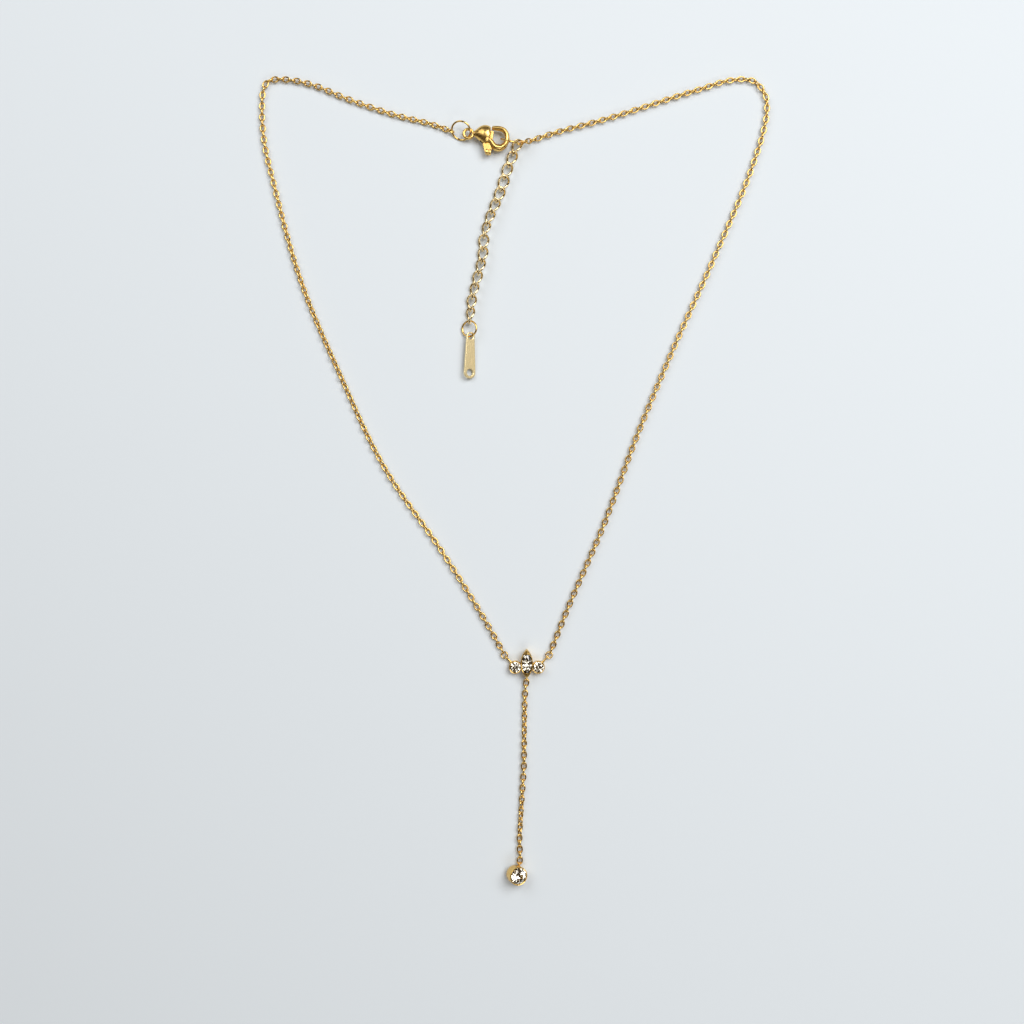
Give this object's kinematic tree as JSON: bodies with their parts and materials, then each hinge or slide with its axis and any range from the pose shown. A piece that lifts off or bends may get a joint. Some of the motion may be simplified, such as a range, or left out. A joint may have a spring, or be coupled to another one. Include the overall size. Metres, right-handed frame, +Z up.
{
  "type": "y necklace",
  "caption": "Y necklace lying flat: fine cable chain, jewelled centrepiece with a chain drop and round stone, lobster clasp, extender chain and end tag.",
  "frame": {"origin": "middle of the laid-out necklace in plan, on the surface that it lies on", "axes": "+Y from the drop up to the clasp side, +X to the right in plan, +Z up from the surface"},
  "size_m": [0.1122, 0.1771, 0.0044],
  "materials": {
    "gold": "polished gold plating",
    "pale_gold": "polished and brushed pale gold plating",
    "crystal": "clear faceted crystal"
  },
  "bodies": {
    "necklace": {"neck_chain_left": "gold", "neck_chain_right": "gold", "clasp_ring": "gold", "clasp_body": "gold", "clasp_pin": "gold", "extender_ring": "gold", "extender_link_01": "pale_gold", "extender_link_02": "pale_gold", "extender_link_03": "pale_gold", "extender_link_04": "pale_gold", "extender_link_05": "pale_gold", "extender_link_06": "pale_gold", "extender_link_07": "pale_gold", "extender_link_08": "pale_gold", "extender_link_09": "pale_gold", "extender_link_10": "pale_gold", "extender_link_11": "pale_gold", "extender_link_12": "pale_gold", "extender_link_13": "pale_gold", "extender_link_14": "pale_gold", "extender_link_15": "pale_gold", "tag_ring": "gold", "tag": "pale_gold", "side_ring_left": "gold", "side_ring_right": "gold", "centre_setting": "gold", "oval_stone": "crystal", "side_stone_left": "crystal", "side_stone_right": "crystal", "drop_chain": "gold", "drop_setting": "gold", "drop_stone": "crystal"},
    "lever": {"clasp_lever": "gold"}
  },
  "joints": [
    {"name": "clasp_lever_hinge", "type": "hinge", "parent": "necklace", "child": "lever", "pos_m": [-0.00589, 0.07442, 0.0015], "axis": [0, 0, -1], "range_deg": [0, 22], "stiffness_Nm_per_rad": 0.0004}
  ]
}
